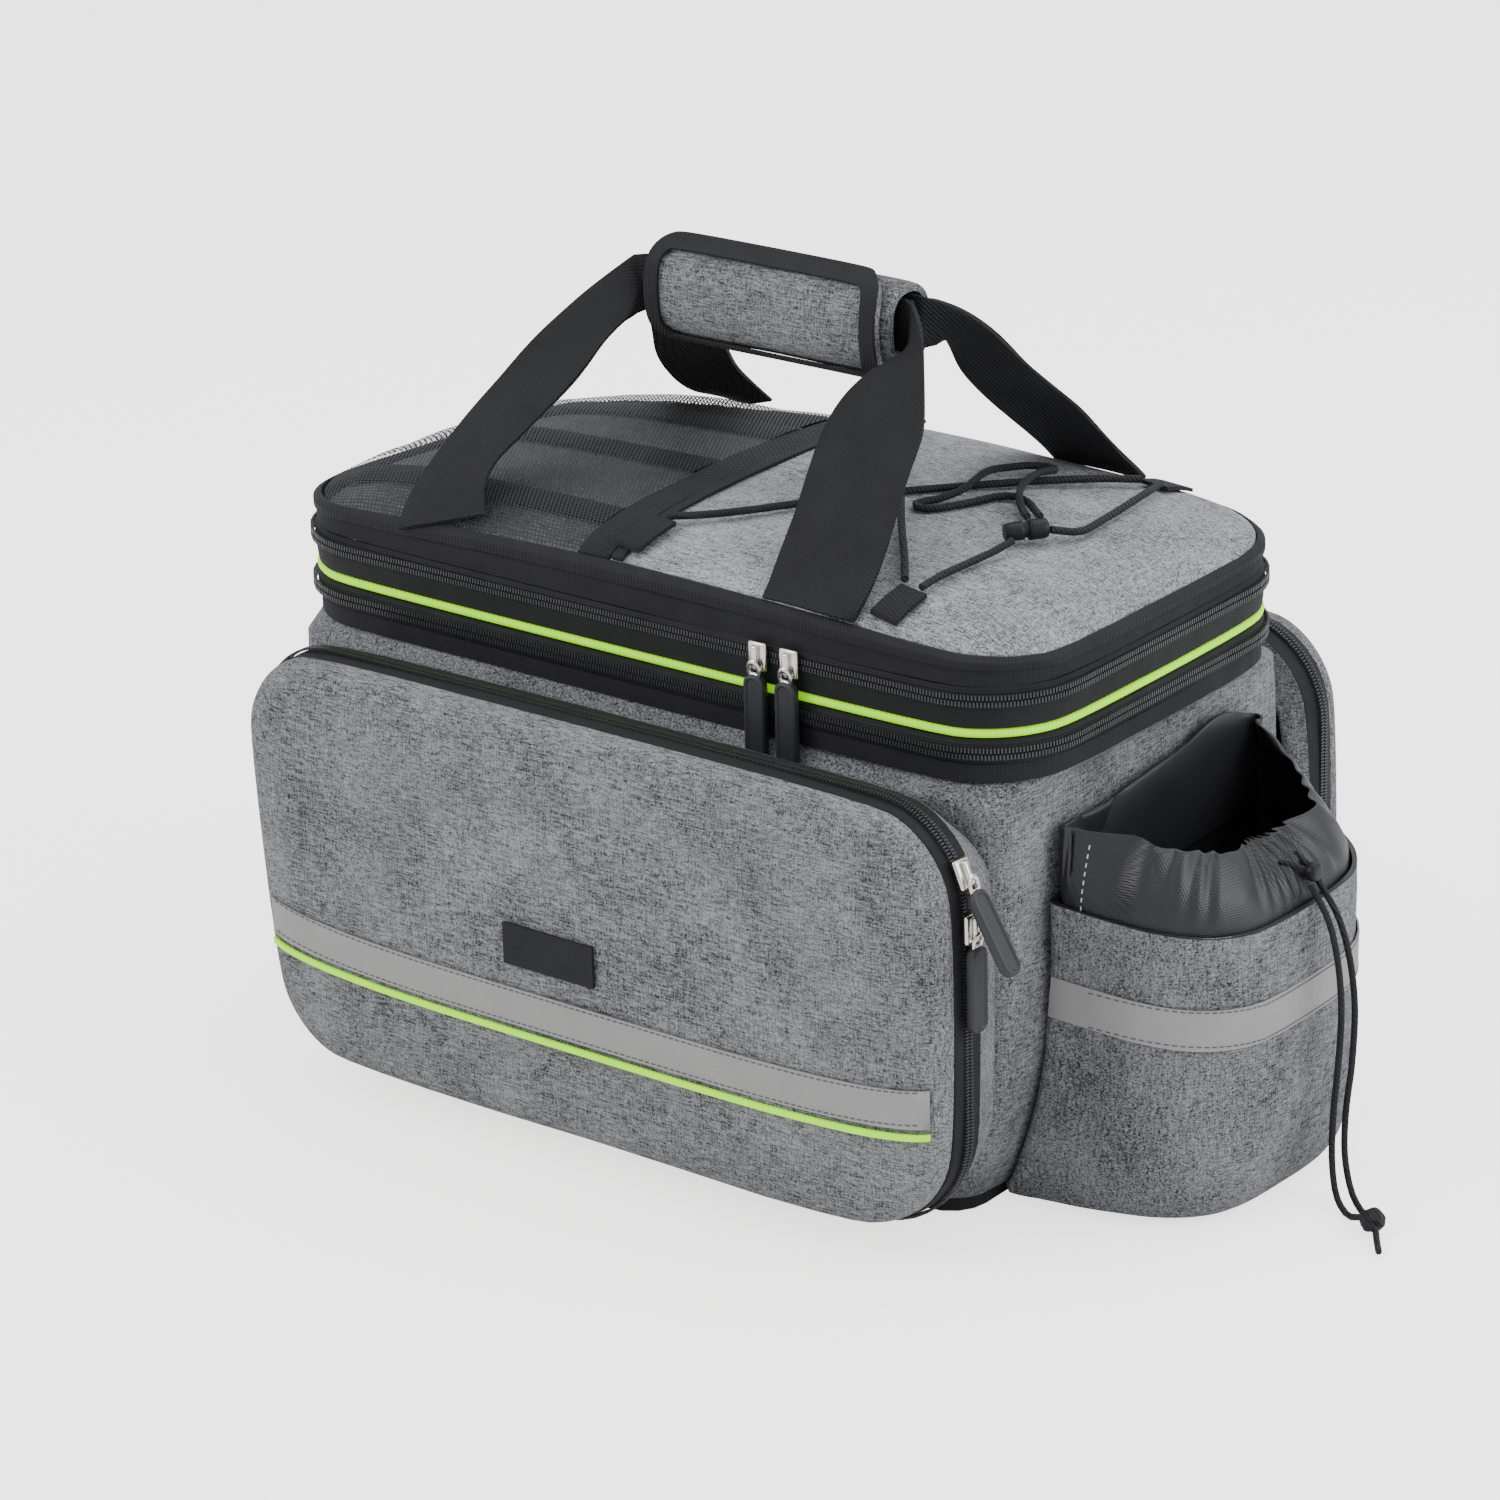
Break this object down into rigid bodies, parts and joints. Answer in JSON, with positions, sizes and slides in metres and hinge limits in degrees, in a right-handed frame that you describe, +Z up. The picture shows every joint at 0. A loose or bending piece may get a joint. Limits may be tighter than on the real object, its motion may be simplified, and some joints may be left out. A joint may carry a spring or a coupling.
{
  "type": "bicycle rack bag",
  "caption": "Soft box bag for a bicycle rack with a domed lid, zipped side pockets, a gathered bottle pocket and a padded carry handle.",
  "frame": {"origin": "middle of the flat underside of the base board", "axes": "+X along the bag towards the bottle pocket, -Y towards the side with the patch, +Z up out of the lid"},
  "size_m": [0.4767, 0.287, 0.3364],
  "materials": {
    "gray_cloth": "matte woven",
    "black_cloth": "matte",
    "black_webbing": "matte ribbed",
    "black_nylon": "slightly shiny",
    "net": "open net",
    "lime_piping": "satin",
    "reflective_tape": "satin",
    "slider_metal": "polished",
    "puller_rubber": "matte",
    "lock_plastic": "matte"
  },
  "bodies": {
    "root": {"body_shell": "gray_cloth", "lid_panel": "gray_cloth", "bottle_pocket": "gray_cloth", "handle_grip": "gray_cloth", "grip_flap": "gray_cloth", "near_pocket_gusset": "gray_cloth", "near_pocket_shell": "gray_cloth", "far_pocket_gusset": "gray_cloth", "far_pocket_shell": "gray_cloth", "base_panel": "black_cloth", "lower_band": "black_cloth", "expansion_zip": "black_cloth", "lid_zip": "black_cloth", "lid_band": "black_cloth", "lid_floor": "black_cloth", "label_patch": "black_cloth", "near_pocket_zip": "black_cloth", "far_pocket_zip": "black_cloth", "lid_binding": "black_webbing", "cross_band": "black_webbing", "cross_strip": "black_webbing", "grip_binding": "black_webbing", "handle_strap_near": "black_webbing", "handle_strap_far": "black_webbing", "bungee_tab_near_front": "black_webbing", "bungee_tab_near_rear": "black_webbing", "bungee_tab_far_rear": "black_webbing", "bungee_tab_far_front": "black_webbing", "bottle_collar": "black_nylon", "bungee_diagonal": "black_nylon", "bungee_counter": "black_nylon", "bungee_rear_near": "black_nylon", "bungee_rear_far": "black_nylon", "bungee_slack": "black_nylon", "drawstring_near": "black_nylon", "drawstring_far": "black_nylon", "drawstring_knot": "black_nylon", "drawstring_tail": "black_nylon", "mesh_cover": "net", "green_piping": "lime_piping", "near_pocket_trim": "lime_piping", "far_pocket_trim": "lime_piping", "bottle_strip": "reflective_tape", "near_pocket_reflector": "reflective_tape", "far_pocket_reflector": "reflective_tape", "lid_zip_a_slider": "slider_metal", "lid_zip_b_slider": "slider_metal", "near_pocket_zip_a_slider": "slider_metal", "near_pocket_zip_b_slider": "slider_metal", "far_pocket_zip_a_slider": "slider_metal", "far_pocket_zip_b_slider": "slider_metal", "lid_zip_a_pull": "puller_rubber", "lid_zip_b_pull": "puller_rubber", "near_pocket_zip_a_pull": "puller_rubber", "near_pocket_zip_b_pull": "puller_rubber", "far_pocket_zip_a_pull": "puller_rubber", "far_pocket_zip_b_pull": "puller_rubber", "bungee_lock": "lock_plastic", "drawstring_lock": "lock_plastic"}
  },
  "joints": []
}
